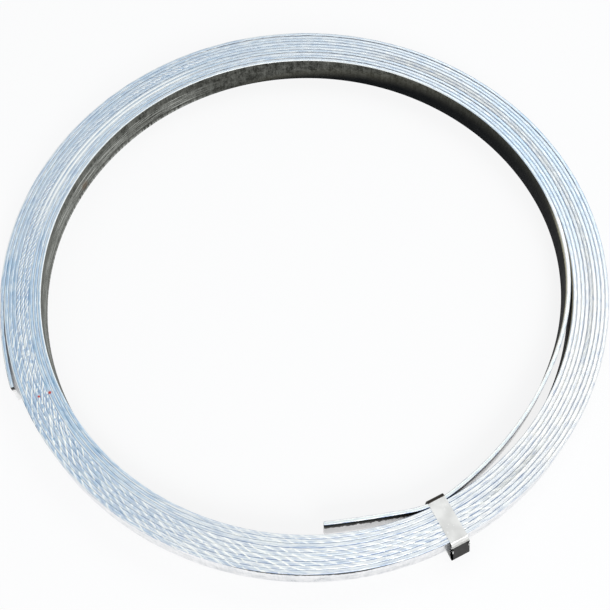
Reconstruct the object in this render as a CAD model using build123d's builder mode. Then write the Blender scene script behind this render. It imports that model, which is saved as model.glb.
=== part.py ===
from build123d import *
import os
from math import cos, degrees, radians, sin, sqrt, tan

# Coil of galvanised flat steel strip for earthing, held by one strapping band with a crimped seal.
# The coil lies flat, so the strip stands on its narrow edge and its width is the coil's height.
# +Z is up, the origin is on the coil's axis at floor level, and -Y is the side with the inner end.
# Angles in the plan are in degrees, counter-clockwise from +X seen from above.

# Strip
strip_width = 30.0
strip_thickness = 3.5
edge_bevel = 1.0  # the strip's rounded edges, drawn as bevels
turn_gap = 0.15  # air between one turn and the next

# Winding: half turns about two centres on the seam line, half a pitch apart, so that they join to a spiral
bore_radius = 246.3  # inside of the pack on its far half
far_turns = 10
seam_angle = 22.5

# Outer end, which springs off the pack
outer_end_sweep = 17.5  # how far before the seam line it leaves the pack
outer_end_radius = 327.0
outer_end_length = 85.0

# Innermost turn, loose between the seam and the strap, with a nearly straight free end past the strap
strap_angle = -64.4
loose_seat = 0.3  # gap between the loose turn and the pack under the strap
clamp_bend_radius = 80.0
clamp_bend_to_loop = 9.0
clamp_bend_to_end = 17.0
inner_end_radius = 1200.0
inner_end_length = 74.0

# Strap
strap_width = 16.0
strap_thickness = 0.5
strap_bend_gap = 0.15  # least distance along the strap from the strip's bevel to where a bend starts
strap_bore_bend = 3.2
strap_top_bend = 3.2
strap_foot_bend = 2.6
layer_gap = 0.1  # between the strap's two ends in the seal
end_overhang = 1.0  # of each strap end past the seal

# Seal, on the outside of the pack, along the strap's straight run, leaning out towards the floor
seal_top_gap = 2.6  # from the strap's top bend to the seal, measured upright
seal_foot_gap = 0.15  # from the strap's foot bend to the seal, measured upright
seal_wall = 0.6
seal_clearance = 0.1
seal_side_clearance = 0.25
seal_slit = 3.0
seal_corner = 0.5
seal_wall_gap = 2.4  # least distance from the pack to the seal's nearest corner
seal_lean = 13.0
notch_length = 4.0
notch_depth = 2.6
notch_from_end = 4.0
tab_length = 2.2
tab_angle = 35.0
tab_side_clearance = 0.2

# Worked out from the above
turn_pitch = strip_thickness + turn_gap
near_turns = far_turns - 1
far_centre = -turn_pitch / 4
near_centre = turn_pitch / 4
near_bore_radius = bore_radius + turn_pitch / 2
near_outer_radius = near_bore_radius + near_turns * turn_pitch - turn_gap
coil_base = strap_thickness
coil_top = coil_base + strip_width
coil_middle = coil_base + strip_width / 2


def direction(angle):
    """Level unit vector at an angle in the plan."""
    return Vector(cos(radians(angle)), sin(radians(angle)), 0)


def upright_plane(angle, origin=Vector(0, 0, 0)):
    """Upright plane through origin, with local X level at the angle and local Y up."""
    return Plane(origin=origin, x_dir=direction(angle), z_dir=direction(angle - 90))


def winding_axis(centre):
    """Upright axis of a half turn, at a distance along the seam line."""
    return Axis(direction(seam_angle) * centre, (0, 0, 1))


def wall_distance(angle, centre, radius):
    """Distance from the origin to a half turn's wall, in a direction."""
    along = centre * cos(radians(angle - seam_angle))
    return along + sqrt(along**2 - centre**2 + radius**2)


def bend_run(radius, turn):
    """Length that a bend takes up on each of its two runs."""
    return radius * tan(radians(turn / 2))


def strap_edge_dip(radius):
    """How far a round wall falls away from its middle to the strap's edges."""
    return radius - sqrt(radius**2 - (strap_width / 2) ** 2)


def pack_profile(angle, centre, inner_radius, turns):
    """Section of so many turns side by side, with a groove between each two at both ends."""
    span = turns * turn_pitch - turn_gap
    middle = direction(seam_angle) * centre + direction(angle) * (inner_radius + span / 2)
    middle = middle + Vector(0, 0, coil_middle)
    with BuildSketch(upright_plane(angle, middle)) as profile:
        Rectangle(span, strip_width)
        chamfer(profile.vertices(), edge_bevel)
        groove_side = (2 * edge_bevel + turn_gap) / sqrt(2)
        with GridLocations(turn_pitch, strip_width, turns - 1, 2):
            Rectangle(groove_side, groove_side, rotation=45, mode=Mode.SUBTRACT)
    return profile.sketch


def strip_section(plane):
    """Section of a single turn."""
    with BuildSketch(plane) as section:
        Rectangle(strip_thickness, strip_width)
        chamfer(section.vertices(), edge_bevel)
    return section.sketch


def arc_joint(start, start_heading, end, end_heading):
    """Point where two arcs meet that leave start and reach end along the given headings."""
    chord = end - start
    headings = start_heading + end_heading
    square = headings.dot(headings) - 4
    linear = -2 * chord.dot(headings)
    reach = (-linear - sqrt(linear**2 - 4 * square * chord.dot(chord))) / (2 * square)
    if reach < 0:
        reach = (-linear + sqrt(linear**2 - 4 * square * chord.dot(chord))) / (2 * square)
    return (start + start_heading * reach + end - end_heading * reach) * 0.5


# Innermost turn's centre line, from the seam to the strap and on to the free end
loose_start = direction(seam_angle) * (far_centre + bore_radius + strip_thickness / 2)
loose_heading = direction(seam_angle - 90)
pack_bore_at_strap = wall_distance(strap_angle, near_centre, near_bore_radius)
loose_at_strap = pack_bore_at_strap - loose_seat - strip_thickness / 2
bend_centre = direction(strap_angle) * (loose_at_strap - clamp_bend_radius)
bend_start = bend_centre + direction(strap_angle + clamp_bend_to_loop) * clamp_bend_radius
bend_heading = direction(strap_angle + clamp_bend_to_loop - 90)
loose_joint = arc_joint(loose_start, loose_heading, bend_start, bend_heading)
with BuildLine(Plane.XY) as loose_line:
    TangentArc(loose_start, loose_joint, tangent=loose_heading)
    TangentArc(loose_joint, bend_start, tangent=loose_line.line % 1)
    JernArc(bend_start, bend_heading, clamp_bend_radius, -(clamp_bend_to_loop + clamp_bend_to_end))
    JernArc(
        loose_line.line @ 1,
        loose_line.line % 1,
        inner_end_radius,
        -degrees(inner_end_length / inner_end_radius),
    )

# Outer end's centre line
outer_end_angle = seam_angle + 180 - outer_end_sweep
outer_turn_radius = bore_radius + near_turns * turn_pitch + strip_thickness / 2
outer_end_start = direction(seam_angle) * far_centre + direction(outer_end_angle) * outer_turn_radius
with BuildLine(Plane.XY) as outer_end_line:
    JernArc(
        outer_end_start,
        direction(outer_end_angle + 90),
        outer_end_radius,
        degrees(outer_end_length / outer_end_radius),
    )

# The coil: two turned halves, then the loose innermost turn and the outer end
with BuildPart() as strip_coil:
    revolve(
        pack_profile(seam_angle, far_centre, bore_radius, far_turns),
        axis=winding_axis(far_centre),
        revolution_arc=180 - outer_end_sweep,
    )
    revolve(
        pack_profile(outer_end_angle, far_centre, bore_radius, near_turns),
        axis=winding_axis(far_centre),
        revolution_arc=outer_end_sweep,
    )
    revolve(
        pack_profile(seam_angle + 180, near_centre, near_bore_radius, near_turns),
        axis=winding_axis(near_centre),
        revolution_arc=180,
    )
    for line, end_angle in ((loose_line.line, seam_angle), (outer_end_line.line, outer_end_angle)):
        section_plane = upright_plane(end_angle, line @ 0 + Vector(0, 0, coil_middle))
        sweep(strip_section(section_plane), path=line.moved(Location((0, 0, coil_middle))))
strip_coil.part.label = "strip_coil"

# Strap: a band in the upright plane across the pack, from the seal round and back into the seal
strap_line_top = coil_top + strap_thickness / 2
strap_line_foot = coil_base - strap_thickness / 2
loose_face_at_edges = loose_at_strap - strip_thickness / 2 - strap_edge_dip(clamp_bend_radius)
strap_line_bore = loose_face_at_edges + edge_bevel - strap_bend_gap - bend_run(strap_bore_bend, 90)
layer_offset = (strap_thickness + layer_gap) / 2

# Seal's place: out from the pack until the strap's top bend clears the bevel and the seal the wall
lean_cos = cos(radians(seal_lean))
lean_tan = tan(radians(seal_lean))
top_bend_run = bend_run(strap_top_bend, 90 - seal_lean)
foot_bend_run = bend_run(strap_foot_bend, 90 + seal_lean)
seal_depth = 2 * (seal_wall + seal_clearance + strap_thickness) + layer_gap
seal_top = strap_line_top - top_bend_run * lean_cos - seal_top_gap
seal_foot = strap_line_foot + foot_bend_run * lean_cos + seal_foot_gap
seal_length = (seal_top - seal_foot) / lean_cos
pack_wall_at_strap = wall_distance(strap_angle, near_centre, near_outer_radius)
bevel_at_edges = pack_wall_at_strap - strap_edge_dip(near_outer_radius) - edge_bevel
top_corner = bevel_at_edges + strap_bend_gap + top_bend_run
axis_for_bend = top_corner - layer_offset / lean_cos + (strap_line_top - seal_top) * lean_tan
axis_for_wall = pack_wall_at_strap + seal_wall_gap + seal_depth / 2 / lean_cos
seal_axis_top = max(axis_for_bend, axis_for_wall)
across = direction(strap_angle + 90)
down_run = direction(strap_angle) * sin(radians(seal_lean)) - Vector(0, 0, lean_cos)
outward = direction(strap_angle) * lean_cos + Vector(0, 0, sin(radians(seal_lean)))
seal_origin = direction(strap_angle) * seal_axis_top + Vector(0, 0, seal_top)
cavity_width = strap_width + 2 * seal_side_clearance
seal_width = cavity_width + 2 * seal_wall
notch_centre = seal_origin + down_run * (notch_from_end + notch_length / 2)


def seal_line(height, offset):
    """Point in the strap's plane at a height, on a line beside the seal's own leaning axis."""
    return (seal_axis_top + offset / lean_cos + (seal_top - height) * lean_tan, height)


def notches():
    """Section of the two notches, one in each side of the seal and of the strap ends in it."""
    with BuildSketch(Plane(origin=notch_centre, x_dir=across, z_dir=outward)) as pair:
        with GridLocations(seal_width, 0, 2, 1):
            Rectangle(2 * notch_depth, notch_length)
    return pair.sketch


with BuildPart() as strap:
    with BuildSketch(upright_plane(strap_angle)) as strap_profile:
        with BuildLine() as strap_line:
            FilletPolyline(
                seal_line(seal_top + end_overhang, -layer_offset),
                seal_line(strap_line_foot, -layer_offset),
                (strap_line_bore, strap_line_foot),
                (strap_line_bore, strap_line_top),
                seal_line(strap_line_top, layer_offset),
                seal_line(seal_foot - end_overhang, layer_offset),
                radius=[strap_foot_bend, strap_bore_bend, strap_bore_bend, strap_top_bend],
            )
        trace(line_width=strap_thickness)
    extrude(amount=strap_width / 2, both=True)
    extrude(notches(), amount=seal_depth, both=True, mode=Mode.SUBTRACT)
strap.part.label = "strap"

# Seal: a folded sleeve round both strap ends, open along its back, with one notch in each side
tab_start = seal_origin + down_run * (notch_from_end + tab_side_clearance)
tab_root = seal_width / 2 - notch_depth
front = seal_depth / 2

with BuildPart() as strap_seal:
    with BuildSketch(Plane(origin=seal_origin, x_dir=across, z_dir=down_run)) as sleeve:
        RectangleRounded(seal_width, seal_depth, seal_corner)
        Rectangle(cavity_width, seal_depth - 2 * seal_wall, mode=Mode.SUBTRACT)
        with Locations((0, -front)):
            Rectangle(seal_slit, 2 * seal_wall, mode=Mode.SUBTRACT)
    extrude(amount=seal_length)
    extrude(notches(), amount=seal_depth, both=True, mode=Mode.SUBTRACT)
    with BuildSketch(Plane(origin=tab_start, x_dir=across, z_dir=down_run)) as tabs:
        with BuildLine() as tab_outline:
            rise = radians(tab_angle)
            tip = (tab_root + tab_length * cos(rise), front + tab_length * sin(rise))
            Polyline(
                (tab_root - seal_wall, front - seal_wall),
                (tab_root - seal_wall, front),
                (tab_root, front),
                tip,
                (tip[0] + seal_wall * sin(rise), tip[1] - seal_wall * cos(rise)),
                (tab_root, front - seal_wall),
                close=True,
            )
        make_face()
        mirror(about=Plane.YZ)
    extrude(amount=notch_length - 2 * tab_side_clearance)
strap_seal.part.label = "strap_seal"

os.makedirs("parts", exist_ok=True)
export_step(strip_coil.part, "parts/strip_coil.step")
export_step(strap.part, "parts/strap.step")
export_step(strap_seal.part, "parts/strap_seal.step")

# Real weight, from the strip's own length
half_turns = sum(bore_radius + strip_thickness / 2 + turn_pitch * turn for turn in range(far_turns))
half_turns += sum(near_bore_radius + strip_thickness / 2 + turn_pitch * turn for turn in range(near_turns))
strip_length = half_turns * radians(180) - outer_turn_radius * radians(outer_end_sweep)
strip_length += outer_end_length + sum(edge.length for edge in loose_line.edges())
section_area = strip_thickness * strip_width - 2 * edge_bevel**2
steel_density = 7.85e-6
print("strip length m", round(strip_length / 1000, 3))
print("real strip kg", round(strip_length * section_area * steel_density, 3))
print("coil solid kg", round(strip_coil.part.volume * steel_density, 3))
for piece in (strip_coil, strap, strap_seal):
    box = piece.part.bounding_box()
    print(piece.part.label, len(piece.part.solids()), box.min, box.max)
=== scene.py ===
"""Looks of a galvanised earthing strip coil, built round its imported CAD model."""
import logging
from dataclasses import dataclass
from enum import IntEnum
from functools import partial, reduce
from math import cos, pi, radians, sin

import bpy
import numpy as np
from bpy.types import Material, Mesh, Node, NodeSocket, Object, World
from mathutils import Matrix, Vector


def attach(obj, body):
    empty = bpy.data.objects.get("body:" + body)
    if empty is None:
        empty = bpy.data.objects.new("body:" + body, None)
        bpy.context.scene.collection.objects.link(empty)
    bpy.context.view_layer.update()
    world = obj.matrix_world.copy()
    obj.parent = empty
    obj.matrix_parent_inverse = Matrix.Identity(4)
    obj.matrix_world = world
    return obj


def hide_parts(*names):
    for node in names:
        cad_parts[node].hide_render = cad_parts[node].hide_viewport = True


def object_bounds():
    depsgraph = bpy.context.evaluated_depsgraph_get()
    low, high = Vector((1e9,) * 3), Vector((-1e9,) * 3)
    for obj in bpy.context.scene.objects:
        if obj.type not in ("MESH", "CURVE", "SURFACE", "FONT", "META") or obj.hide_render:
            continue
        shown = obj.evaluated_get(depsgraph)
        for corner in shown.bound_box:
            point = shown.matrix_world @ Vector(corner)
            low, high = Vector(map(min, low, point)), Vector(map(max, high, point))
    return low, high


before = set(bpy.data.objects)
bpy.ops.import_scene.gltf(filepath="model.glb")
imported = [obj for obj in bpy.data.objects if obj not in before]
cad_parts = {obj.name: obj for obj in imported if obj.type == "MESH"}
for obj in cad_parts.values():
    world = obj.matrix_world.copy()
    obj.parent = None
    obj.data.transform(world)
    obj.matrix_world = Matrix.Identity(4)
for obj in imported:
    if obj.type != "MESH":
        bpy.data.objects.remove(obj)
CAD_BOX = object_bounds()

MM = 0.001
STRAP_ANGLE = -64.4
STRIP_FOOT = CAD_BOX[0].z + 0.5 * MM
Colour = tuple[float, float, float]
Point = tuple[float, float, float]
Range = tuple[float, float]
Value = NodeSocket | float | str
Array = np.ndarray
log = logging.getLogger("strip_coil")


def smooth_step(value: Array, start: float, end: float) -> Array:
    """Smooth rise from 0 at start to 1 at end, and level before and after them."""
    share = np.clip((value - start) / (end - start), 0, 1)
    return share * share * (3 - 2 * share)


def window(value: Array, low: float, high: float, fade: float) -> Array:
    """Smooth window that is 1 from low to high, with a fade down to 0 outside each of them."""
    return smooth_step(value, low - fade, low) * smooth_step(-value, -high - fade, -high)


def turned_from(angle: Array, middle: float) -> Array:
    """Signed turn from a middle angle, in degrees, from -180 to 180."""
    return (angle - middle + 180) % 360 - 180


@dataclass(frozen=True)
class Grain:
    """One noise: its scale, how many finer layers it has, and how strong they are.

    A noise with a stretch lies on the strip's flat side, with one scale along the strip and one upwards.
    """

    scale: float
    detail: float = 2.0
    rough: float = 0.5
    stretch: Range | None = None


class ShaderGraph:
    """A node tree, with short ways to add nodes and join them.

    A value is an output socket, a number, or the name of one of the values that the mesh holds.
    """

    def __init__(self, name: str, kind: str = "materials") -> None:
        """Makes a new material or world with an empty node tree.

        Args:
            name: Its name.
            kind: Where Blender keeps it: "materials" or "worlds".
        """
        self.owner: Material | World = getattr(bpy.data, kind).new(name)
        self.owner.use_nodes = True
        self.tree = self.owner.node_tree
        self.tree.nodes.clear()

    def node(self, kind: str, inputs: dict[str | int, Value | Colour] | None = None, **settings: object) -> Node:
        """Adds a node.

        Args:
            kind: The node's type name, without its ShaderNode prefix.
            inputs: What its inputs get, by their names or numbers.
            **settings: Values for the node's own properties.

        Returns:
            The new node.
        """
        node = self.tree.nodes.new("ShaderNode" + kind)
        for key, value in settings.items():
            setattr(node, key, value)
        for key, value in (inputs or {}).items():
            self.feed(node.inputs[key], value)
        return node

    def feed(self, socket: NodeSocket, value: Value | Colour) -> None:
        """Joins a socket to a value, or sets it.

        Args:
            socket: The input to feed.
            value: A value or a colour.
        """
        if isinstance(value, str):
            value = self.node("Attribute", attribute_name=value).outputs["Fac"]
        if isinstance(value, NodeSocket):
            self.tree.links.new(value, socket)
        elif isinstance(value, tuple) and len(socket.default_value) == 4:
            socket.default_value = (*value, 1.0)
        else:
            socket.default_value = value

    def maths(self, operation: str, *values: Value) -> NodeSocket:
        """Adds a Math node for an operation such as "SUBTRACT"."""
        return self.node("Math", dict(enumerate(values)), operation=operation).outputs[0]

    def plus(self, *values: Value) -> Value:
        """Adds up its values."""
        return reduce(partial(self.maths, "ADD"), values)

    def times(self, *values: Value) -> Value:
        """Multiplies its values, and gives a lone one back as it is."""
        return reduce(partial(self.maths, "MULTIPLY"), values)

    def most(self, *values: Value) -> Value:
        """Picks the largest of its values."""
        return reduce(partial(self.maths, "MAXIMUM"), values)

    def scaled(self, value: Value, gain: float, offset: Value) -> NodeSocket:
        """Multiplies a value by a gain and adds an offset."""
        return self.maths("MULTIPLY_ADD", value, gain, offset)

    def spread(self, noise: Value, gain: float) -> NodeSocket:
        """Widens a noise round zero: half of it becomes 0."""
        return self.scaled(noise, gain, -0.5 * gain)

    def uneven(self, noise: Value, mean: float) -> NodeSocket:
        """Lets a roughness change a little round its mean, by a noise."""
        return self.plus(self.spread(noise, 0.3), mean)

    def off(self, value: Value, middle: Value) -> NodeSocket:
        """Gives how far a value is from a middle one, on either side."""
        return self.maths("ABSOLUTE", self.maths("SUBTRACT", value, middle))

    def place(self) -> NodeSocket:
        """Gives the point's place on the object, in metres."""
        return self.node("TexCoord").outputs["Object"]

    def height(self) -> NodeSocket:
        """Gives the point's height above the floor, in metres."""
        return self.node("SeparateXYZ", {0: self.place()}).outputs[2]

    def reach(self, direction: Vector) -> NodeSocket:
        """Gives how far the point lies from the origin in one direction, in metres."""
        inputs = {0: self.place(), 1: tuple(direction)}
        return self.node("VectorMath", inputs, operation="DOT_PRODUCT").outputs["Value"]

    def joined(self, *parts: Value) -> NodeSocket:
        """Joins three numbers into a place for a noise to read."""
        return self.node("CombineXYZ", dict(enumerate(parts))).outputs[0]

    def noise(self, grain: Grain, place: NodeSocket | None = None) -> NodeSocket:
        """Adds a noise.

        Args:
            grain: What the noise is like.
            place: The place that it reads, where that isn't the grain's own.

        Returns:
            The noise, mostly between 0.3 and 0.7.
        """
        if place is None and grain.stretch is not None:
            along, up = grain.stretch
            place = self.joined(self.times("along", along), "side", self.times(self.height(), up))
        elif place is None:
            place = self.place()
        inputs = {"Vector": place, "Scale": grain.scale, "Detail": grain.detail, "Roughness": grain.rough}
        return self.node("TexNoise", inputs).outputs["Fac"]

    def rise(self, value: Value, start: float, end: float) -> NodeSocket:
        """Smooth rise from 0 at start to 1 at end, or a fall where end is below start.

        Args:
            value: The value to look up.
            start: Where the result is 0.
            end: Where the result is 1.

        Returns:
            A share from 0 to 1.
        """
        low, high, first, last = (start, end, 0.0, 1.0) if start < end else (end, start, 1.0, 0.0)
        inputs = {"Value": value, "From Min": low, "From Max": high, "To Min": first, "To Max": last}
        return self.node("MapRange", inputs, interpolation_type="SMOOTHSTEP").outputs["Result"]

    def near(self, spot: Point, radius: float) -> NodeSocket:
        """Share of a small round spot, which is 0 past its radius, in metres."""
        node = self.node("VectorMath", {0: self.place(), 1: spot}, operation="DISTANCE")
        return self.rise(node.outputs["Value"], radius, 0.3 * radius)

    def coat(self, under: NodeSocket | Colour, over: Colour, *shares: Value) -> NodeSocket:
        """Lays one colour over another. Its shares are multiplied, and 1 hides what is underneath."""
        return self.node("Mix", {0: self.times(*shares), 6: under, 7: over}, data_type="RGBA").outputs[2]

    def bump(self, pattern: NodeSocket, distance: float, strength: float = 0.4) -> NodeSocket:
        """Turns a pattern into a surface direction. A pattern of 1 stands the distance high, in metres."""
        return self.node("Bump", {"Height": pattern, "Distance": distance, "Strength": strength}).outputs["Normal"]

    def metal(
        self, colour: NodeSocket, metallic: Value, roughness: Value, normal: NodeSocket, gloss: Value = 0.5
    ) -> Material:
        """Ends the tree in one metal shader.

        Args:
            colour: Base colour.
            metallic: How much of a metal it is.
            roughness: Roughness.
            normal: Surface direction.
            gloss: Specular level of the part that isn't metal.

        Returns:
            The finished material.
        """
        inputs = {"Base Color": colour, "Metallic": metallic, "Roughness": roughness, "Normal": normal}
        shader = self.node("BsdfPrincipled", inputs | {"Specular IOR Level": gloss})
        self.node("OutputMaterial", {"Surface": shader.outputs["BSDF"]})
        return self.owner


@dataclass(frozen=True)
class EdgeZinc:
    """Zinc on the strip's narrow edges: cloudy pale blue, partly its own tint and partly a painted sky reflection, with
    painted light and painted white glints like rope strands.

    Places across the edge go from -1 at its inner side to 1 at its outer side.
    """

    # Pale blue, partly the zinc's own tint and partly a painted sky reflection.
    shade: Colour = (0.285, 0.475, 0.665)
    # Pale colour of the painted light.
    painted_light: Colour = (0.93, 0.915, 0.875)
    # White painted highlights: glints on the ripples, the streak, the rims, pale hairs and the bore rim.
    painted_glint: Colour = (0.95, 0.97, 0.95)
    # Painted shade: in the gaps between the turns, on the ripples' feet and on dark hairs.
    groove: Colour = (0.27, 0.37, 0.57)
    # Painted shade deep in the open gaps.
    deep: Colour = (0.020, 0.035, 0.080)
    worn: Colour = (0.50, 0.51, 0.49)
    core: Colour = (0.62, 0.80, 0.82)
    rust: Colour = (0.55, 0.06, 0.04)
    metallic: float = 0.45
    roughness: float = 0.42
    worn_share: float = 0.85
    slant: float = -2.4
    wander: float = 12.0
    wave_foot: Range = (-0.2, -0.95)
    wave_top: Range = (0.5, 0.8)
    hair_scales: Range = (110.0, 3.2)
    dark_hairs: Range = (0.48, 0.36)
    dark_hair_share: float = 0.55
    pale_hairs: Range = (0.53, 0.62)
    pale_hair_share: float = 0.65
    groove_side: Range = (0.66, 1.0)
    gap_side: Range = (0.62, 0.86)
    rim_middle: float = 0.62
    rim_side: Range = (0.36, 0.12)
    rim_gaps: Range = (0.38, 0.52)
    painted_glint_gaps: Range = (0.34, 0.48)
    streak_side: Range = (0.5, -0.3)
    bore_side: Range = (-0.45, -0.7)
    core_middle: float = 0.1
    core_side: Range = (0.45, 0.1)
    clouds: Grain = Grain(70.0, 4.0, 0.6)
    drawn: Grain = Grain(1.0, 3.0, stretch=(25.0, 0.0))
    drift: Grain = Grain(30.0)
    waver: Grain = Grain(160.0)
    breaks: Grain = Grain(190.0, 1.0)
    rim_breaks: Grain = Grain(1.0, 3.0, stretch=(26.0, 1.0))
    pits: Grain = Grain(900.0)
    relief: float = 0.12 * MM
    specks: tuple[tuple[Point, float], ...] = (
        ((-227.9 * MM, -113.6 * MM, 30.4 * MM), 2.2 * MM),
        ((-237.3 * MM, -117.0 * MM, 30.4 * MM), 1.7 * MM),
    )

    def swell(self, graph: ShaderGraph, per_ripple: int) -> NodeSocket:
        """Makes one set of slanted waves.

        Args:
            graph: The material's graph.
            per_ripple: How many waves there are to each ripple.

        Returns:
            Waves from -1 to 1.
        """
        drift = graph.spread(graph.noise(self.drift), self.wander)
        slanted = graph.scaled("across", self.slant * per_ripple, drift)
        return graph.maths("SINE", graph.scaled("beat", per_ripple, slanted))

    def hairs(self, graph: ShaderGraph) -> NodeSocket:
        """Makes a noise of fine broken lines along the edge, for the hairs of painted shade and painted highlight."""
        along, across = self.hair_scales
        return graph.noise(Grain(1.0), graph.joined(graph.times("along", along), graph.times("across", across), "turn"))

    def rims(self, graph: ShaderGraph) -> NodeSocket:
        """Makes the thin painted highlight lines along the edge's rim, broken up along their way."""
        rim = graph.rise(graph.off("across", self.rim_middle), *self.rim_side)
        return graph.times(rim, graph.rise(graph.noise(self.rim_breaks), *self.rim_gaps), "rim")

    def material(self) -> Material:
        """Makes the material.

        Returns:
            Zinc that reads the coil's own values, such as across, painted_light, groove, worn, streak and ripple.
        """
        graph = ShaderGraph("edge_zinc")
        clouds = graph.noise(self.clouds)
        drawn = graph.noise(self.drawn)
        tint = graph.plus(graph.spread(clouds, 0.5), graph.spread(drawn, 0.5))
        # Painted light: the pale colour lies over the blue by the painted light share.
        colour = graph.coat(self.shade, self.painted_light, graph.plus("painted_light", tint))
        colour = graph.coat(colour, self.worn, "worn", self.worn_share)
        # Fine hairs of painted shade along the edge.
        hairs = self.hairs(graph)
        colour = graph.coat(colour, self.groove, graph.rise(hairs, *self.dark_hairs), self.dark_hair_share)
        # Painted shade in the gaps between the turns, darkest in the open gaps.
        side = graph.off("across", graph.spread(graph.noise(self.waver), -0.5))
        colour = graph.coat(colour, self.groove, graph.rise(side, *self.groove_side), "groove")
        colour = graph.coat(colour, self.deep, graph.rise(side, *self.gap_side), "deep")
        present = graph.rise(graph.noise(self.breaks), *self.painted_glint_gaps)
        shadow = graph.scaled("painted_light", -0.48, 0.52)
        # Each ripple's foot takes painted shade, weaker where the painted light is strong, and its crest a painted
        # glint.
        dashes = []
        for per_ripple, strength in ((1, "ripple"), (2, "fine_ripple")):
            wave = self.swell(graph, per_ripple)
            colour = graph.coat(colour, self.groove, graph.rise(wave, *self.wave_foot), shadow, strength)
            dashes.append(graph.times(graph.rise(wave, *self.wave_top), present, strength))
        painted_glints = graph.most(*dashes)
        # Painted highlights: the glints, a streak, the rims, pale hairs and the bore rim.
        streak = graph.times(graph.rise("across", *self.streak_side), "streak")
        hair = graph.times(graph.rise(hairs, *self.pale_hairs), self.pale_hair_share)
        bore_rim = graph.times(graph.rise("across", *self.bore_side), "bore_rim")
        colour = graph.coat(colour, self.painted_glint, graph.most(painted_glints, streak, self.rims(graph), hair, bore_rim))
        core = graph.rise(graph.off("across", self.core_middle), *self.core_side)
        colour = graph.coat(colour, self.core, core, "loose")
        for spot, radius in self.specks:
            colour = graph.coat(colour, self.rust, graph.near(spot, radius))
        normal = graph.bump(graph.scaled(graph.noise(self.pits), 0.25, painted_glints), self.relief, 0.5)
        return graph.metal(colour, self.metallic, graph.uneven(clouds, self.roughness), normal)


@dataclass(frozen=True)
class ShadedFlat:
    """Rough zinc on the flat side that faces the coil's middle, kept dark as painted shade: upright streaks, scratches
    and a dark painted shadow.
    """

    # Painted shade: the inner flat is kept dark, and the tone share lightens it as painted light.
    shade: Colour = (0.028, 0.029, 0.024)
    tone: Colour = (0.17, 0.173, 0.155)
    # Olive edge of the painted shadow.
    scratch: Colour = (0.55, 0.56, 0.52)
    olive: Colour = (0.085, 0.080, 0.058)
    olive_share: float = 0.4
    cream: Colour = (0.72, 0.68, 0.50)
    # Painted shadow on the inner wall.
    painted_shadow: Colour = (0.001, 0.002, 0.003)
    rust: Colour = (0.16, 0.095, 0.05)
    rust_spot: Point = (-217.0 * MM, 115.5 * MM, 10.0 * MM)
    rust_radius: float = 8.0 * MM
    metallic: float = 0.1
    roughness: float = 0.7
    gloss: float = 0.04
    scratched_band: Range = (8.0 * MM, 20.0 * MM)
    band_fade: float = 2.0 * MM
    pale_foot: float = 6.0 * MM
    cream_foot: Range = (23.0 * MM, 28.0 * MM)
    scratch_cut: Range = (0.50, 0.62)
    tick_cut: Range = (0.38, 0.62)
    olive_edge: Range = (1.4, 0.6)
    ragged: float = 6.0 * MM
    streaks: Grain = Grain(1.0, 3.0, 0.65, stretch=(420.0, 35.0))
    mottle: Grain = Grain(150.0, 5.0, 0.65)
    grain: Grain = Grain(700.0)
    scratches: Grain = Grain(1.0, stretch=(22.0, 1500.0))
    relief: float = 0.05 * MM

    def material(self) -> Material:
        """Makes the material.

        Returns:
            Zinc that reads the coil's own values: along, side, tone, wear, painted_shadow, penumbra and cream.
        """
        graph = ShaderGraph("shaded_flat_zinc")
        height = graph.height()
        streaks = graph.noise(self.streaks)
        mottle = graph.noise(self.mottle)
        grain = graph.noise(self.grain)
        speckle = graph.plus(graph.spread(streaks, 1.3), graph.spread(mottle, 2.2), graph.spread(grain, 1.2))
        # Dark painted shade, lightened by the tone share as painted light.
        colour = graph.coat(self.shade, self.tone, graph.plus(speckle, "tone"))
        low, high = self.scratched_band
        band = graph.times(
            graph.rise(height, low - self.band_fade, low), graph.rise(height, high + self.band_fade, high)
        )
        scratches = graph.times(graph.rise(graph.noise(self.scratches), *self.scratch_cut), band)
        ticks = graph.rise(streaks, *self.tick_cut)
        foot = graph.times(graph.rise(height, self.pale_foot, 0.3 * self.pale_foot), ticks)
        colour = graph.coat(colour, self.scratch, graph.most(scratches, foot), "wear")
        colour = graph.coat(colour, self.rust, graph.near(self.rust_spot, self.rust_radius), mottle)
        # Painted shadow on the inner wall, with a ragged olive edge.
        above = graph.plus(graph.maths("SUBTRACT", height, "painted_shadow"), graph.spread(mottle, -self.ragged))
        above_shadow = graph.maths("DIVIDE", above, "soak")
        colour = graph.coat(colour, self.olive, graph.rise(above_shadow, *self.olive_edge), self.olive_share)
        colour = graph.coat(colour, self.painted_shadow, graph.rise(above_shadow, 1.0, 0.0))
        cream_top = graph.rise(graph.plus(height, graph.spread(streaks, self.ragged)), *self.cream_foot)
        colour = graph.coat(colour, self.cream, cream_top, "cream")
        normal = graph.bump(streaks, self.relief, 0.5)
        return graph.metal(colour, self.metallic, graph.uneven(mottle, self.roughness), normal, self.gloss)


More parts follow.
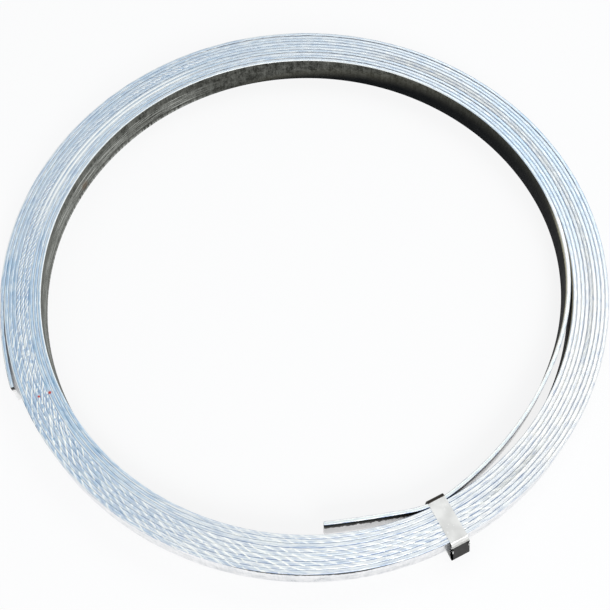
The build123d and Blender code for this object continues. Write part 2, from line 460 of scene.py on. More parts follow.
@dataclass(frozen=True)
class LitFlat:
    """Zinc on a flat side that faces outward, made near white as painted light, with a ragged painted shadow line under
    its upper edge.
    """

    # Painted light: the outward flat is made near white.
    shade: Colour = (0.66, 0.69, 0.72)
    tone: Colour = (0.97, 0.97, 0.98)
    # Painted shadow line under the upper edge, matte and not metal.
    line: Colour = (0.010, 0.012, 0.010)
    line_top: float = 30.5 * MM
    line_fade: Range = (-0.2 * MM, 0.4 * MM)
    thinnest_line: Range = (0.1 * MM, 0.5 * MM)
    metallic: float = 0.85
    roughness: float = 0.33
    gloss: float = 0.5
    line_gloss: float = 0.1
    streaks: Grain = Grain(1.0, 3.0, 0.65, stretch=(420.0, 35.0))
    mottle: Grain = Grain(120.0, 4.0, 0.6)
    teeth: Grain = Grain(1.0, stretch=(260.0, 0.0))
    teeth_depth: float = 1.5
    relief: float = 0.04 * MM

    def material(self) -> Material:
        """Makes the material.

        Returns:
            Zinc that reads the coil's own values: along, side, loose, and line, how far down the painted shadow line
            reaches.
        """
        graph = ShaderGraph("lit_flat_zinc")
        streaks = graph.noise(self.streaks)
        mottle = graph.noise(self.mottle)
        # The loose share adds painted light to the loose turn's outward face.
        share = graph.plus(graph.spread(streaks, 1.4), graph.scaled(mottle, 2.4, -0.5), "loose")
        colour = graph.coat(self.shade, self.tone, share)
        # Ragged painted shadow line under the upper edge, matte and not metal.
        reach = graph.times("line", graph.plus(graph.spread(graph.noise(self.teeth), self.teeth_depth), 1.0))
        over = graph.plus(graph.height(), reach, -self.line_top)
        dark = graph.times(graph.rise(over, *self.line_fade), graph.rise("line", *self.thinnest_line))
        bare = graph.scaled(dark, -self.metallic, self.metallic)
        gloss = graph.scaled(dark, self.line_gloss - self.gloss, self.gloss)
        normal = graph.bump(streaks, self.relief)
        colour = graph.coat(colour, self.line, dark)
        return graph.metal(colour, bare, graph.uneven(mottle, self.roughness), normal, gloss)


@dataclass(frozen=True)
class CutEnd:
    """Sheared steel on the strip's two ends: dark at the top, bright and a little rusty below."""

    shade: Colour = (0.012, 0.012, 0.011)
    bright: Colour = (0.94, 0.94, 0.93)
    rust: Colour = (0.30, 0.20, 0.13)
    metallic: float = 0.5
    roughness: float = 0.5
    mottle: Grain = Grain(500.0, 3.0)
    rust_cut: Range = (0.60, 0.85)
    dark_top: Range = (24.5 * MM, 26.5 * MM)
    dark_top_teeth: float = 3.0 * MM
    relief: float = 0.1 * MM

    def material(self) -> Material:
        """Makes the material.

        Returns:
            Bright steel with its burr and rust.
        """
        graph = ShaderGraph("cut_end")
        mottle = graph.noise(self.mottle)
        colour = graph.coat(self.bright, self.rust, graph.rise(mottle, *self.rust_cut))
        edge = graph.scaled(mottle, self.dark_top_teeth, graph.height())
        colour = graph.coat(colour, self.shade, graph.rise(edge, *self.dark_top))
        return graph.metal(colour, self.metallic, self.roughness, graph.bump(mottle, self.relief, 0.5))


@dataclass(frozen=True)
class StrapSteel:
    """Satin zinc-coated strapping, with a fine grain, soft dull patches and painted shade on its inner bend."""

    shade: Colour = (0.74, 0.74, 0.72)
    tone: Colour = (0.84, 0.84, 0.82)
    rubbed: Colour = (0.95, 0.95, 0.94)
    rubbed_share: float = 0.7
    rub_cut: Range = (0.60, 0.68)
    patch_cut: Range = (0.35, 0.65)
    # Painted shade on the inner bend.
    painted_shade: Colour = (0.030, 0.024, 0.018)
    painted_shade_fade: float = 0.5 * MM
    painted_shade_waver: float = 0.6 * MM
    metallic: float = 0.6
    roughness: float = 0.34
    clouds: Grain = Grain(75.0)
    rubs: Grain = Grain(330.0, 3.0, 0.65)
    grain: Grain = Grain(1600.0)
    relief: float = 0.03 * MM

    def material(self, outward: Vector, painted_shade_reach: float) -> Material:
        """Makes the material.

        Args:
            outward: Level direction from the coil's middle to the strap.
            painted_shade_reach: How far from the coil's middle the painted shade on the inner bend ends, in metres.

        Returns:
            Two soft satin greys, with light rub marks and painted shade on the inner bend.
        """
        graph = ShaderGraph("strap_steel")
        clouds = graph.noise(self.clouds)
        colour = graph.coat(self.shade, self.tone, graph.rise(clouds, *self.patch_cut))
        rubs = graph.rise(graph.noise(self.rubs), *self.rub_cut)
        colour = graph.coat(colour, self.rubbed, rubs, self.rubbed_share)
        # Painted shade on the inner bend, with a wavering edge.
        reach = graph.scaled(clouds, self.painted_shade_waver, graph.reach(outward))
        colour = graph.coat(colour, self.painted_shade, graph.rise(reach, painted_shade_reach + self.painted_shade_fade, painted_shade_reach))
        normal = graph.bump(graph.noise(self.grain), self.relief)
        return graph.metal(colour, self.metallic, graph.uneven(clouds, self.roughness), normal)


@dataclass(frozen=True)
class SealSteel:
    """Dark, lightly oiled sheet steel of the crimped seal, with painted highlights on its tabs and its top edge and a
    painted shadow on one side.
    """

    shade: Colour = (0.008, 0.008, 0.007)
    tone: Colour = (0.019, 0.018, 0.016)
    # Painted highlight on the tabs and the top edge.
    bright: Colour = (0.70, 0.70, 0.68)
    painted_shade: Colour = (0.001, 0.001, 0.001)
    metallic: float = 0.3
    roughness: float = 0.45
    gloss: float = 0.15
    tab_stand: float = 0.8 * MM
    rim: float = 0.5 * MM
    shaded_depth: Range = (2.0 * MM, 1.4 * MM)
    patch_cut: Range = (0.35, 0.7)
    bright_cut: Range = (0.2, 0.5)
    clouds: Grain = Grain(260.0, 3.0)
    relief: float = 0.05 * MM

    def material(self, outward: Vector, tab_reach: float, sideways: Vector, side_reach: float, top: float) -> Material:
        """Makes the material.

        Args:
            outward: Direction that the seal's front faces.
            tab_reach: How far the tabs' tips reach in that direction, in metres.
            sideways: Direction that the seal's side with the painted shadow faces.
            side_reach: How far that side reaches in its direction, in metres.
            top: Height of the seal's top edge, in metres.

        Returns:
            Oily dark steel with lighter patches, painted highlights on the tabs and top edge, and a painted shadow on
            one side.
        """
        graph = ShaderGraph("seal_steel")
        clouds = graph.noise(self.clouds)
        colour = graph.coat(self.shade, self.tone, graph.rise(clouds, *self.patch_cut))
        # Painted shadow on one side, matte and not metal.
        inner, outer = self.shaded_depth
        shaded = graph.rise(graph.reach(sideways), side_reach - inner, side_reach - outer)
        colour = graph.coat(colour, self.painted_shade, shaded)
        # Painted highlights on the tabs and the top edge.
        tabs = graph.rise(graph.reach(outward), tab_reach - self.tab_stand, tab_reach - 0.5 * self.tab_stand)
        rim = graph.rise(graph.height(), top - self.rim, top - 0.4 * self.rim)
        colour = graph.coat(colour, self.bright, graph.most(tabs, rim), graph.rise(clouds, *self.bright_cut))
        metallic = graph.scaled(shaded, -self.metallic, self.metallic)
        gloss = graph.scaled(shaded, -self.gloss, self.gloss)
        normal = graph.bump(clouds, self.relief)
        return graph.metal(colour, metallic, graph.uneven(clouds, self.roughness), normal, gloss)


@dataclass(frozen=True)
class Harmonic:
    """One slow wave round the coil: how often it repeats, its height and the angle where it peaks."""

    count: int
    height: float
    peak: float

    def at(self, angle: Array) -> Array:
        """Height of the wave at plan angles in degrees."""
        return self.height * np.cos(self.count * np.radians(angle - self.peak))


@dataclass(frozen=True)
class Arc:
    """One arc of the strip's centre line in the plan."""

    radius: float
    length: float


class Face(IntEnum):
    """Material slots of the strip, by which face they finish."""

    EDGE = 0
    INNER_FLAT = 1
    OUTER_FLAT = 2
    CUT = 3


@dataclass
class StripPath:
    """The strip's centre line in the plan, as stations from the inner end to the outer end."""

    place: Array
    heading: Array
    turn: Array
    along: Array

    @property
    def angle(self) -> Array:
        """Plan angle of each station, in degrees."""
        return np.degrees(np.arctan2(self.place[:, 1], self.place[:, 0])) % 360

    @property
    def outward(self) -> Array:
        """Level direction across the strip, away from the coil's middle."""
        return np.stack([self.heading[:, 1], -self.heading[:, 0]], 1)


@dataclass(frozen=True)
class Patch:
    """Part of the coil: an angle range in the plan, in degrees counter-clockwise from +X, on some turns.

    It is full between low and high and fades out beyond them. Turns are counted from the seam.
    """

    low: float
    high: float
    fade: float
    strength: float = 1.0
    turns: Range = (-1.0, 11.0)
    turn_fade: float = 0.2

    def at(self, path: StripPath) -> Array:
        """Strength of the patch at each station.

        Args:
            path: The strip's centre line.

        Returns:
            Strengths from 0 to the patch's own.
        """
        middle = (self.low + self.high) / 2
        share = window(turned_from(path.angle, middle), self.low - middle, self.high - middle, self.fade)
        return self.strength * share * window(path.turn, *self.turns, self.turn_fade)


@dataclass(frozen=True)
class ShadowLevel:
    """Height of the painted shadow on the inner wall, in millimetres, which rises clockwise from the coil's far side.
    """

    start: float
    slope: float
    lowest: float
    highest: float
    last_drop: float

    def at(self, path: StripPath) -> Array:
        """Gives the level at each station.

        Args:
            path: The strip's centre line.

        Returns:
            Heights in metres.
        """
        past_top = turned_from(-path.angle, -90.0)
        level = np.clip(self.start + self.slope * past_top, self.lowest, self.highest)
        return (level - self.last_drop * smooth_step(past_top, 128.0, 160.0)) * MM


@dataclass(frozen=True)
class StripPatterns:
    """The values along the strip that its shape and its finishes read, with one number for each station."""

    path: StripPath
    ripples_per_turn: float = 133.24
    ripples: tuple[Patch, ...] = (
        Patch(195.0, 215.0, 12.0, 0.9, (3.6, 7.6), 0.25),
        Patch(212.0, 260.0, 12.0, 0.85, (3.4, 9.6), 0.25),
        Patch(258.0, 298.0, 12.0, 0.85, (3.4, 8.4), 0.25),
        Patch(256.0, 280.0, 12.0, 0.7, (0.6, 2.4), 0.25),
        Patch(292.0, 312.0, 12.0, 0.45, (4.6, 7.4), 0.25),
    )
    fine_ripples: tuple[Patch, ...] = (
        Patch(164.0, 208.0, 12.0, 1.0, (3.2, 5.9), 0.25),
        Patch(212.0, 252.0, 12.0, 0.5, (3.4, 8.8), 0.25),
        Patch(122.0, 162.0, 12.0, 0.6, (4.7, 6.4), 0.25),
        Patch(112.0, 124.0, 12.0, 0.7, (6.0, 7.6), 0.25),
        Patch(-18.0, 62.0, 12.0, 0.18, (4.0, 5.2), 0.25),
    )
    # Painted light on the edges: its mean, its most, its change from turn to turn, on the loose turn, round the coil
    # and in patches.
    painted_light_mean: float = 0.43
    painted_light_most: float = 0.95
    painted_light_uneven: float = 0.07
    painted_light_turns: float = 0.53
    painted_light_loose: float = 0.6
    painted_light_waves: tuple[Harmonic, ...] = (
        Harmonic(1, 0.295, -39.2),
        Harmonic(2, 0.14, -58.1),
        Harmonic(4, 0.083, -22.0),
    )
    painted_light_patches: tuple[Patch, ...] = (
        Patch(54.0, 100.0, 18.0, 0.14),
        Patch(185.0, 232.0, 18.0, -0.15),
        Patch(318.0, 355.0, 14.0, 0.08),
    )
    # Painted shade in the gaps between the turns.
    groove_least: float = 0.2
    groove_painted_light: float = 0.65
    groove_bottom: Patch = Patch(262.0, 302.0, 16.0, 0.5)
    groove_right: Patch = Patch(-40.0, 30.0, 15.0, 0.25)
    # Deep painted shade in open gaps: first turn, last turn and strength.
    open_gaps: tuple[tuple[float, float, float], ...] = (
        (0.13, 0.27, 0.8),
        (2.06, 2.28, 0.45),
        (4.20, 4.30, 0.3),
        (5.30, 5.50, 0.2),
        (8.00, 8.24, 0.8),
        (8.46, 8.52, 0.8),
        (9.46, 9.60, 0.9),
    )
    far_gaps: float = 0.55
    worn_band: tuple[Patch, ...] = (
        Patch(-16.0, 66.0, 12.0, 0.95, (4.05, 5.1)),
        Patch(306.0, 316.0, 4.0, 0.9, (4.3, 5.0)),
    )
    # Painted highlight lines along the rims, and along the bore.
    rims: tuple[Patch, ...] = (
        Patch(100.0, 240.0, 25.0, 0.9),
        Patch(100.0, 240.0, 25.0, -0.5, (3.2, 7.2), 0.4),
    )
    bore_rim: Patch = Patch(60.0, 200.0, 20.0, 0.8, (0.0, 0.9), 0.02)
    # Painted highlight streak along the edges.
    streak_least: float = 0.2
    streak: Patch = Patch(122.0, 158.0, 14.0, 0.65, (3.1, 4.5), 0.3)
    wear: Patch = Patch(122.0, 195.0, 15.0)
    cream: Patch = Patch(-42.0, 4.0, 14.0, 0.8)
    # Painted shadow on the inner wall, and where its olive edge ends.
    painted_shadow: ShadowLevel = ShadowLevel(0.0, 0.33, -12.0, 10.0, 24.0)
    painted_shadow_edge: ShadowLevel = ShadowLevel(12.0, 0.6, -8.0, 46.0, 54.0)
    # Painted shadow lines on the outward side.
    dark_lines: tuple[Patch, ...] = (Patch(262.0, 276.0, 10.0, 2.8), Patch(276.0, 295.0, 6.0, 1.2))
    line_reach: float = 1.6 * MM
    free_end_reach: float = 10.5 * MM

    def covered(self, patches: tuple[Patch, ...]) -> Array:
        """Adds up some patches."""
        return sum(patch.at(self.path) for patch in patches)

    def beat(self) -> Array:
        """Phase of the ripples, in radians, which goes on along the strip."""
        return 2 * pi * self.ripples_per_turn * self.path.turn

    def ripple(self) -> Array:
        """Strength of the ripples."""
        return np.clip(self.covered(self.ripples), 0, 1)

    def painted_light(self) -> Array:
        """Share of painted light on the edges: bluest on the left, nearly white at the lower right.

        Returns:
            Shares from 0 to 1.
        """
        uneven = self.painted_light_uneven * np.sin(2 * pi * self.painted_light_turns * self.path.turn + 0.8)
        waves = sum(wave.at(self.path.angle) for wave in self.painted_light_waves)
        loose = self.painted_light_loose * smooth_step(-self.path.turn, 0.0, 0.06)
        pale = self.painted_light_mean + uneven + waves + self.covered(self.painted_light_patches) + loose
        return np.clip(pale, 0, self.painted_light_most)

    def groove(self) -> Array:
        """How strongly the painted shade in the gaps between the turns shows: most at the coil's near side, less on the
        right.
        """
        gaps = self.groove_least + self.groove_painted_light * self.painted_light() + self.groove_bottom.at(self.path)
        return gaps * (1 - self.groove_right.at(self.path))

    def line(self) -> Array:
        """How far the painted shadow line on the outward side reaches down.

        Returns:
            Distances in metres, largest on the loose turn's free end.
        """
        angle, loose = self.path.angle, self.path.turn < 0
        broken = smooth_step(np.sin(angle * 0.61) + np.sin(angle * 1.37 + 1.0), 1.1, 1.5)
        hairline = np.where(loose, 0.7, np.maximum(self.covered(self.dark_lines), 0.6 * broken))
        free_end = smooth_step(-turned_from(angle, STRAP_ANGLE), -6.0, 0.0) * loose
        return self.line_reach * hairline + self.free_end_reach * free_end

    @staticmethod
    def gap_strength(gap: Array) -> Array:
        """How strongly the painted shade in each gap shows, by turns from the seam, which changes from gap to gap and
        along it.
        """
        waves = np.sin(2 * pi * 0.37 * gap + 0.9) + np.sin(2 * pi * 0.71 * gap + 2.4)
        return np.clip(0.65 + 0.35 * waves, 0.1, 1.1)

    def gap_depth(self, gap: Array) -> Array:
        """Share of the deep painted shade in the gaps: strong where two turns stand apart, faint on the coil's far
        side.

        Args:
            gap: Turns from the seam of the strip on the gap's inner side.

        Returns:
            Shares from 0 to 1.
        """
        far_side = window(gap % 1, 0.08, 0.27, 0.06) * (gap > 0)
        far = self.far_gaps * far_side * np.clip(0.7 + 0.5 * np.sin(4.4 * gap), 0.2, 1)
        return far + sum(strength * window(gap, first, last, 0.03) for first, last, strength in self.open_gaps)

    def values(self) -> dict[str, Array]:
        """Gives the values that the finishes read.

        Returns:
            Every value by its name.
        """
        path = self.path
        painted_shadow = self.painted_shadow.at(path)
        worn = self.covered(self.worn_band)
        return {
            "along": path.along,
            "turn": path.turn,
            "beat": self.beat(),
            "ripple": self.ripple(),
            "fine_ripple": np.clip(self.covered(self.fine_ripples), 0, 1),
            "painted_light": self.painted_light(),
            "groove": self.groove(),
            "worn": worn,
            "rim": self.covered(self.rims),
            "streak": (self.streak_least + self.streak.at(path)) * (1 - worn),
            "bore_rim": self.bore_rim.at(path),
            "loose": 0.6 * smooth_step(-path.turn, 0.02, 0.1),
            "wear": self.wear.at(path),
            # tone: painted light on the inner wall, lighter towards the left.
            "tone": 0.34 + 0.62 * smooth_step(path.angle, 100.0, 190.0),
            "painted_shadow": painted_shadow,
            "soak": self.painted_shadow_edge.at(path) - painted_shadow,
            "cream": self.cream.at(path),
            "line": self.line(),
        }


@dataclass
class StripCoil:
    """The galvanised strip: one length, wound turn on turn, with a loose inner turn and two free ends."""

    width: float = 30.0 * MM
    thickness: float = 3.5 * MM
    crown: float = 0.65 * MM
    crown_fullness: float = 2.6
    crown_steps: int = 8
    foot_steps: int = 4
    seam_angle: float = 22.5
    bore: float = 244.5 * MM
    bore_waves: tuple[Harmonic, ...] = (
        Harmonic(1, 1.46 * MM, 7.0),
        Harmonic(2, 0.27 * MM, 78.0),
        Harmonic(3, 0.12 * MM, 53.0),
        Harmonic(4, 0.26 * MM, 22.0),
    )
    pitch: float = 3.65 * MM
    pitch_waves: tuple[Harmonic, ...] = (Harmonic(1, 0.09 * MM, -162.0), Harmonic(2, 0.035 * MM, -31.0))
    seam_radius: float = 247.14 * MM
    loose_arcs: tuple[Arc, ...] = (
        Arc(225.51 * MM, 176.08 * MM),
        Arc(311.68 * MM, 180.40 * MM),
        Arc(80.0 * MM, 36.30 * MM),
        Arc(1200.0 * MM, 74.0 * MM),
    )
    outer_end_angle: float = 185.0
    outer_end: Arc = Arc(338.0 * MM, 85.0 * MM)
    turns_to_outer_end: int = 9
    step: float = 2.3 * MM
    height_wave: float = 0.22 * MM
    ripple_height: float = 0.14 * MM
    end_bevel: float = 0.2 * MM
    map_margin: float = 3.0 * MM
    cap_spacing: float = 20.0 * MM
    sharp_angle: float = 50.0
    turn_gap: float = 0.07 * MM
    edge: EdgeZinc = EdgeZinc()
    inner_flat: ShadedFlat = ShadedFlat()
    outer_flat: LitFlat = LitFlat()
    cut_end: CutEnd = CutEnd()

    def lay(self, angle: Array) -> Array:
        """Radius of the bore at plan angles in degrees, as the coil really lies, before any winding."""
        return self.bore + sum(wave.at(angle) for wave in self.bore_waves)

    def local_pitch(self, angle: Array) -> Array:
        """Distance from turn to turn at plan angles in degrees."""
        return self.pitch + sum(wave.at(angle) for wave in self.pitch_waves)

    def centre_radius(self, total: Array) -> Array:
        """Radius of the strip's centre line at plan angles in degrees, counted on from turn to turn."""
        turn = (total - self.seam_angle) / 360
        return self.lay(total) + self.local_pitch(total) * turn + self.thickness / 2

    @staticmethod
    def follow(start: Array, heading: float, arcs: tuple[Arc, ...], side: int, step: float) -> Array:
        """Walks along a chain of arcs.

        Args:
            start: The first point.
            heading: The first heading, in degrees.
            arcs: The arcs, in order.
            side: 1 where they curve to the left, -1 to the right.
            step: Distance between the points.

        Returns:
            Points in the plan, without the first one.
        """
        place = np.array(start)
        angle = radians(heading)
        points = []
        for arc in arcs:
            count = max(2, round(arc.length / step))
            bend = side * arc.length / arc.radius / count
            chord = 2 * arc.radius * sin(abs(bend) / 2)
            for _ in range(count):
                middle = angle + bend / 2
                place = place + chord * np.array([cos(middle), sin(middle)])
                points.append(place)
                angle += bend
        return np.array(points)

    def loose_turn(self) -> Array:
        """Centre line of the loose inner turn, from its free end to the seam.

        Returns:
            Points in the plan. They follow the coil's lay near the seam, and the CAD's line at the strap.
        """
        seam = radians(self.seam_angle)
        start = self.seam_radius * np.array([cos(seam), sin(seam)])
        points = self.follow(start, self.seam_angle - 90, self.loose_arcs, -1, self.step)[::-1]
        radius = np.hypot(points[:, 0], points[:, 1])
        angle = np.degrees(np.arctan2(points[:, 1], points[:, 0]))
        shift = self.lay(self.seam_angle) + self.thickness / 2 - self.seam_radius
        radius_now = radius + shift * smooth_step(angle, STRAP_ANGLE + 20, self.seam_angle)
        return points * (radius_now / radius)[:, None]

    def path(self) -> StripPath:
        """Joins the loose turn, the pack's spiral and the outer end.

        Returns:
            The strip's whole centre line.
        """
        last = 360 * self.turns_to_outer_end + self.outer_end_angle
        count = round(radians(last - self.seam_angle) * (self.bore + 5 * self.pitch) / self.step)
        total = np.linspace(self.seam_angle, last, count)
        radius = self.centre_radius(total)
        spiral = radius[:, None] * np.stack([np.cos(np.radians(total)), np.sin(np.radians(total))], 1)
        leaving = spiral[-1] - spiral[-2]
        heading = np.degrees(np.arctan2(leaving[1], leaving[0]))
        tail = self.follow(spiral[-1], heading, (self.outer_end,), 1, self.step)
        place = np.concatenate([self.loose_turn(), spiral, tail])
        steps = np.gradient(place, axis=0)
        heading_now = steps / np.hypot(steps[:, 0], steps[:, 1])[:, None]
        spacing = np.hypot(*np.diff(place, axis=0).T)
        along = np.concatenate([[0], np.cumsum(spacing)])
        swept = np.unwrap(np.arctan2(place[:, 1], place[:, 0]))
        turn = (np.degrees(swept) - self.seam_angle) / 360
        turn -= np.round(turn[0] + 0.3)
        return StripPath(place, heading_now, turn, along)

    def section(self) -> Array:
        """Outline of the strip's section, counter-clockwise from the top of its outer side.

        Returns:
            Rows of: distance out from the centre line, height above the middle, and how much it ripples.
        """
        half = self.thickness / 2
        power = 2 / self.crown_fullness
        rows = []
        for steps, side in ((self.crown_steps, 1), (self.foot_steps, -1)):
            for turn in np.linspace(0, pi, steps + 1):
                out = side * half * np.sign(cos(turn)) * abs(cos(turn)) ** power
                up = side * (self.width / 2 - self.crown + self.crown * sin(turn) ** power)
                rows.append((out, up, side * sin(turn)))
        return np.array(rows)

    def rise(self, path: StripPath) -> Array:
        """Slow rise and fall of the strip, which fades out where the strap holds it level.

        Args:
            path: The strip's centre line.

        Returns:
            Heights in metres.
        """
        free = smooth_step(np.abs(turned_from(path.angle, STRAP_ANGLE)), 4.0, 16.0)
        waves = np.sin(2 * pi * path.turn * 1.31 + 0.6) + 0.6 * np.sin(2 * pi * path.turn * 2.77 + 2.1)
        return self.height_wave * free * waves / 1.6

    def vertices(self, patterns: StripPatterns) -> Array:
        """Places the section at every station.

        Args:
            patterns: The strip's patterns, with its centre line.

        Returns:
            Points as an array of stations by section points by 3.
        """
        path = patterns.path
        section = self.section()
        middle = STRIP_FOOT + self.width / 2
        across = section[:, 0] / (self.thickness / 2)
        free = smooth_step(np.abs(turned_from(path.angle, STRAP_ANGLE)), 2.2, 5.0)
        wave = np.sin(patterns.beat()[:, None] + self.edge.slant * across[None])
        wave = wave * (patterns.ripple() * self.ripple_height * free)[:, None] * section[None, :, 2]
        wound = window(path.turn, 0.0, self.turns_to_outer_end + 0.45, 0.02)
        inset = 1 + wound * ((self.local_pitch(path.angle) - self.turn_gap) / self.thickness - 1)
        inset[[0, -1]] = 1 - 2 * self.end_bevel / self.thickness
        points = np.zeros((len(path.turn), len(section), 3))
        flat = path.outward[:, None] * (section[None, :, :1] * inset[:, None, None])
        points[:, :, :2] = path.place[:, None] + flat
        points[:, :, 2] = middle + self.rise(path)[:, None] + section[None, :, 1] + wave
        return points

    def faces(self, stations: int, free_end: int) -> tuple[list[list[int]], list[Face]]:
        """Lists the strip's faces and which finish each takes.

        Args:
            stations: How many stations the strip has.
            free_end: Station from which the outer end is free, and takes the outward flat's painted light on both
                sides.

        Returns:
            Vertex indices of each face, and its material slot.
        """
        ring = self.crown_steps + self.foot_steps + 2
        kinds = [Face.EDGE] * ring
        kinds[self.crown_steps] = Face.INNER_FLAT
        kinds[-1] = Face.OUTER_FLAT
        faces = []
        finishes = []
        for station in range(stations - 1):
            for corner in range(ring):
                here = station * ring + corner
                beside = station * ring + (corner + 1) % ring
                faces.append([here, beside, beside + ring, here + ring])
                # From the free end on, the inner side takes the outward flat's painted light.
                bright = kinds[corner] == Face.INNER_FLAT and station >= free_end
                finishes.append(Face.OUTER_FLAT if bright else kinds[corner])
        faces.append(list(range(ring))[::-1])
        faces.append(list(range((stations - 1) * ring, stations * ring)))
        finishes += [Face.CUT, Face.CUT]
        return faces, finishes

    def build(self) -> Object:
        """Builds the strip's mesh, with the values that its finishes read.

        Returns:
            The finished strip.
        """
        path = self.path()
        patterns = StripPatterns(path)
        points = self.vertices(patterns)
        stations, ring = points.shape[:2]
        end_turn = self.turns_to_outer_end + (self.outer_end_angle - self.seam_angle) / 360
        faces, finishes = self.faces(stations, int(np.searchsorted(path.turn, end_turn)))
        mesh = bpy.data.meshes.new("earthing_strip")
        mesh.from_pydata(points.reshape(-1, 3).tolist(), [], faces)
        mesh.polygons.foreach_set("material_index", [int(finish) for finish in finishes])
        mesh.polygons.foreach_set("use_smooth", [True] * len(faces))
        mesh.set_sharp_from_angle(angle=radians(self.sharp_angle))
        section = self.section()
        values = {name: np.repeat(value, ring) for name, value in patterns.values().items()}
        values["across"] = np.tile(section[:, 0] / (self.thickness / 2), stations)
        values["side"] = np.sign(values["across"])
        gap = values["turn"] - (values["side"] < 0)
        values["groove"] = values["groove"] * patterns.gap_strength(gap)
        values["deep"] = patterns.gap_depth(gap)
        for name, value in values.items():
            attribute = mesh.attributes.new(name, "FLOAT", "POINT")
            attribute.data.foreach_set("value", value.astype(np.float32))
        self.unroll(mesh, path, section[:, :2])
        strip = bpy.data.objects.new("earthing_strip", mesh)
        bpy.context.scene.collection.objects.link(strip)
        self.dress(strip)
        return strip

    def unroll(self, mesh: Mesh, path: StripPath, outline: Array) -> None:
        """Lays the strip's faces out flat in rows, so that patterns can be baked through the map.

        Args:
            mesh: The strip's mesh, with its faces in order of stations.
            path: The strip's centre line.
            outline: The section's points, as distance out and height.
        """
        ring = len(outline)
        sides = np.linalg.norm(np.roll(outline, -1, axis=0) - outline, axis=1)
        around = np.concatenate([[0], np.cumsum(sides)])
        row_height = around[-1] + self.map_margin
        rows = round((path.along[-1] / row_height) ** 0.5)
        per_row = -(-(len(path.along) - 1) // rows)
        station = np.arange(len(path.along) - 1)
        row = station // per_row
        start = path.along[station] - path.along[row * per_row] + self.map_margin
        end = start + path.along[station + 1] - path.along[station]
        scale = 1 / max(end.max() + self.map_margin, (rows + 1) * row_height)
        corner = np.arange(ring)
        low = row[:, None] * row_height + around[corner][None] + self.map_margin / 2
        high = low + sides[None]
        left = np.broadcast_to(start[:, None], low.shape)
        right = np.broadcast_to(end[:, None], low.shape)
        quads = np.stack([left, low, left, high, right, high, right, low], -1).reshape(-1, 2)
        caps = outline - outline.min(axis=0) + self.map_margin
        caps = caps + np.array([0, rows * row_height])
        caps = np.concatenate([caps[::-1], caps + np.array([self.cap_spacing, 0])])
        layer = mesh.uv_layers.new(name="OFBake")
        layer.data.foreach_set("uv", (np.concatenate([quads, caps]) * scale).ravel())

    def dress(self, strip: Object) -> None:
        """Gives the strip its finishes, in the order of Face, and ties it to the CAD.

        Args:
            strip: The strip's object.
        """
        for finish in (self.edge, self.inner_flat, self.outer_flat, self.cut_end):
            strip.data.materials.append(finish.material())
        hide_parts("strip_coil")
        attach(strip, "root")


@dataclass
class StrapAndSeal:
    """The strapping band and its crimped seal, which stay as the CAD has them."""

    seal_lean: float = 13.0
    shaded_bend: float = 3.4 * MM
    strap: StrapSteel = StrapSteel()
    seal: SealSteel = SealSteel()

    def dress(self) -> list[Object]:
        """Gives both CAD nodes their finish.

        Returns:
            The two nodes' objects.
        """
        strap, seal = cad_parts["strap"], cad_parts["strap_seal"]
        angle, lean = radians(STRAP_ANGLE), radians(self.seal_lean)
        outward = Vector((cos(angle), sin(angle), 0.0))
        front = outward * cos(lean) + Vector((0.0, 0.0, sin(lean)))
        inner_reach = min(vertex.co @ outward for vertex in strap.data.vertices)
        sideways = Vector((outward.y, -outward.x, 0.0))
        tab_reach = max(vertex.co @ front for vertex in seal.data.vertices)
        side_reach = max(vertex.co @ sideways for vertex in seal.data.vertices)
        top = max(vertex.co.z for vertex in seal.data.vertices)
        finishes = {
            strap: self.strap.material(outward, inner_reach + self.shaded_bend),
            seal: self.seal.material(front, tab_reach, sideways, side_reach, top),
        }
        for piece, material in finishes.items():
            piece.data.materials.clear()
            piece.data.materials.append(material)
        return [strap, seal]


@dataclass
class Lamp:
    """One soft square lamp, aimed at the coil's middle."""

    name: str
    place: Point
    size: float
    power: float
    colour: Colour

    def build(self) -> None:
        """Puts the lamp in the scene."""
        light = bpy.data.lights.new(self.name, "AREA")
        light.size = self.size
        light.energy = self.power
        light.color = self.colour
        lamp = bpy.data.objects.new(self.name, light)
        bpy.context.scene.collection.objects.link(lamp)
        lamp.location = self.place
        lamp.rotation_euler = (-Vector(self.place)).to_track_quat("-Z", "Y").to_euler()


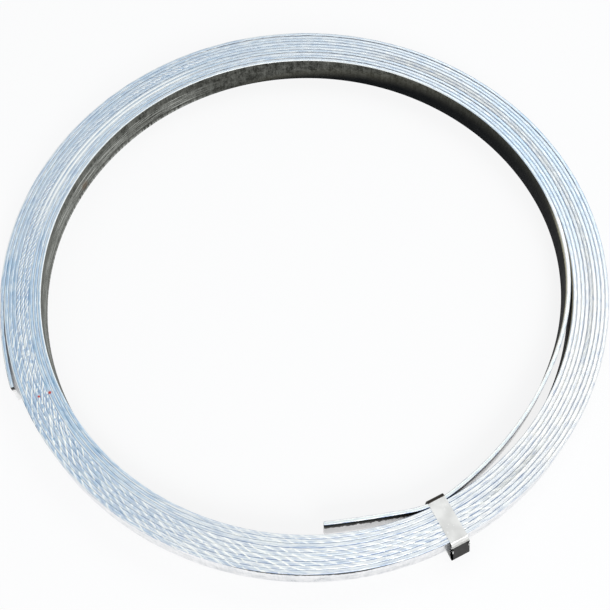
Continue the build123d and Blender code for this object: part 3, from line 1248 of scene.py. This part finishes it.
@dataclass
class Studio:
    """Pale floor, soft light and the camera at the photograph's viewing angle."""

    floor_size: float = 8.0
    floor_colour: Colour = (0.82, 0.83, 0.85)
    floor_shown: float = 0.84
    world_colour: Colour = (0.96, 0.98, 1.0)
    world_strength: float = 0.64
    lamps: tuple[Lamp, ...] = (
        Lamp("front", (0.5, -1.6, 1.4), 1.0, 21.0, (1.0, 0.99, 0.98)),
        Lamp("back", (0.8, 1.3, 1.9), 1.2, 13.0, (0.99, 1.0, 1.0)),
    )
    lens: float = 64.03
    sensor: float = 36.0
    camera_distance: float = 1.0367
    camera_elevation: float = 62.996
    camera_tilt: float = -0.995
    camera_roll: float = -1.658

    def floor(self) -> None:
        """Lays the floor, which the camera sees a little brighter than it is lit, with its shadows kept."""
        half = self.floor_size / 2
        corners = [(-half, -half, 0), (half, -half, 0), (half, half, 0), (-half, half, 0)]
        mesh = bpy.data.meshes.new("floor")
        mesh.from_pydata(corners, [], [(0, 1, 2, 3)])
        graph = ShaderGraph("pale_floor")
        rays = graph.node("LightPath").outputs
        seen = graph.times(graph.most(rays["Is Camera Ray"], rays["Is Glossy Ray"]), self.floor_shown)
        paint = graph.node("BsdfDiffuse", {"Color": self.floor_colour})
        mixed = graph.node("MixShader", {0: seen, 1: paint.outputs[0], 2: graph.node("Emission").outputs[0]})
        graph.node("OutputMaterial", {"Surface": mixed.outputs[0]})
        mesh.materials.append(graph.owner)
        floor = bpy.data.objects.new("floor", mesh)
        bpy.context.scene.collection.objects.link(floor)

    def world(self) -> None:
        """Surrounds the scene with an even pale sky, which the camera itself sees as white."""
        graph = ShaderGraph("studio", "worlds")
        sky = graph.node("Background", {"Color": self.world_colour, "Strength": self.world_strength})
        backdrop = graph.node("Background", {"Color": (1.0, 1.0, 1.0)})
        seen = graph.node("LightPath").outputs["Is Camera Ray"]
        mixed = graph.node("MixShader", {0: seen, 1: sky.outputs[0], 2: backdrop.outputs[0]})
        graph.node("OutputWorld", {"Surface": mixed.outputs[0]})
        bpy.context.scene.world = graph.owner

    def camera(self) -> None:
        """Puts the camera where the photograph was taken from."""
        data = bpy.data.cameras.new("camera")
        data.sensor_width = self.sensor
        data.lens = self.lens
        camera = bpy.data.objects.new("camera", data)
        bpy.context.scene.collection.objects.link(camera)
        elevation = radians(self.camera_elevation)
        back = self.camera_distance * cos(elevation)
        up = self.camera_distance * sin(elevation) + STRIP_FOOT
        look_down = Matrix.Rotation(radians(90 - self.camera_elevation + self.camera_tilt), 4, "X")
        roll = Matrix.Rotation(radians(self.camera_roll), 4, "Z")
        camera.matrix_world = Matrix.Translation((0, -back, up)) @ look_down @ roll
        bpy.context.scene.camera = camera

    def build(self) -> None:
        """Sets up the whole studio."""
        bpy.context.scene.view_settings.view_transform = "Standard"
        self.floor()
        self.world()
        for lamp in self.lamps:
            lamp.build()
        self.camera()


def report(piece: Object) -> None:
    """Logs a finished piece and how many faces it has."""
    log.info("%s: %d faces", piece.name, len(piece.data.polygons))


def main() -> None:
    """Builds and dresses every piece, then sets up the studio."""
    logging.basicConfig(level=logging.INFO, format="%(message)s")
    report(StripCoil().build())
    for piece in StrapAndSeal().dress():
        report(piece)
    Studio().build()


if __name__ == "__main__":
    main()
